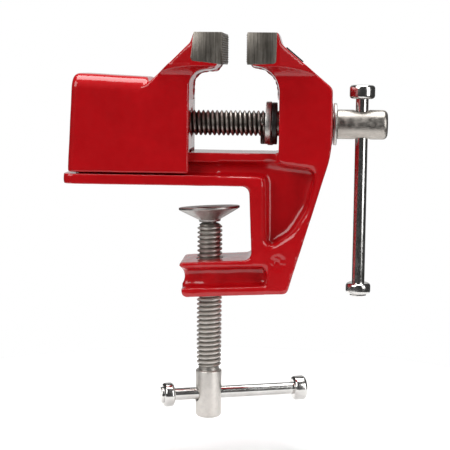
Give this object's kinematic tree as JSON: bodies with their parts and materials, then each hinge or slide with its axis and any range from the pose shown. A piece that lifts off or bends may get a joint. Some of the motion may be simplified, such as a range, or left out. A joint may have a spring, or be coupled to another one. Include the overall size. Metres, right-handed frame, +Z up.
{
  "type": "bench vise",
  "caption": "Small bench vise that clamps to the edge of a table, with a sliding jaw on a rail, a main screw with a sliding bar and a clamp screw with a swivel pad.",
  "frame": {"origin": "underside of the seat plate, on the clamp screw's axis and in the middle of the jaws' width", "axes": "+X along the main screw from the sliding jaw to the handle, +Y across the jaws, +Z up"},
  "size_m": [0.1266, 0.04, 0.1542],
  "materials": {
    "red_enamel": "gloss red enamel over cast iron, jaw faces ground bare",
    "dark_steel": "oiled dark steel",
    "bright_steel": "bright turned steel",
    "black_steel": "blackened steel",
    "nickel": "nickel plated",
    "black_label": "plain black plate, no text"
  },
  "bodies": {
    "frame": {"body_casting": "red_enamel", "label_plate": "black_label"},
    "sliding_jaw": {"moving_jaw": "red_enamel", "spindle_nut": "dark_steel"},
    "spindle": {"main_screw": "dark_steel", "cotter_pin": "bright_steel", "spring_washer": "bright_steel", "inner_washer": "black_steel", "outer_washer": "bright_steel"},
    "spindle_bar": {"main_handle_bar": "nickel", "main_handle_cap": "nickel"},
    "clamp_carrier": {"clamp_pad": "bright_steel"},
    "clamp_spindle": {"clamp_screw": "bright_steel"},
    "clamp_bar": {"clamp_handle_bar": "nickel", "clamp_handle_cap": "nickel"}
  },
  "joints": [
    {"name": "spindle_turn", "type": "hinge", "parent": "frame", "child": "spindle", "pos_m": [0, 0, 0.0239], "axis": [1, 0, 0], "range_deg": [-1720, 3950]},
    {"name": "jaw_slide", "type": "slide", "parent": "frame", "child": "sliding_jaw", "axis": [1, 0, 0], "range_m": [-0.02, 0.0088]},
    {"name": "spindle_bar_slide", "type": "slide", "parent": "spindle", "child": "spindle_bar", "axis": [0, 0, 1], "range_m": [-0.0038, 0.0565]},
    {"name": "clamp_travel", "type": "slide", "parent": "frame", "child": "clamp_carrier", "axis": [0, 0, 1], "range_m": [-0.0132, 0.008]},
    {"name": "clamp_turn", "type": "hinge", "parent": "clamp_carrier", "child": "clamp_spindle", "pos_m": [0, 0, 0], "axis": [0, 0, 1], "range_deg": [-2610, 1570]},
    {"name": "clamp_bar_slide", "type": "slide", "parent": "clamp_spindle", "child": "clamp_bar", "axis": [0.9511, 0.309, 0], "range_m": [-0.0298, 0.0085]}
  ],
  "couplings": [
    {"joint": "jaw_slide", "follows": "spindle_turn", "m_per_rad": -0.00028875},
    {"joint": "clamp_travel", "follows": "clamp_turn", "m_per_rad": 0.00028875}
  ]
}
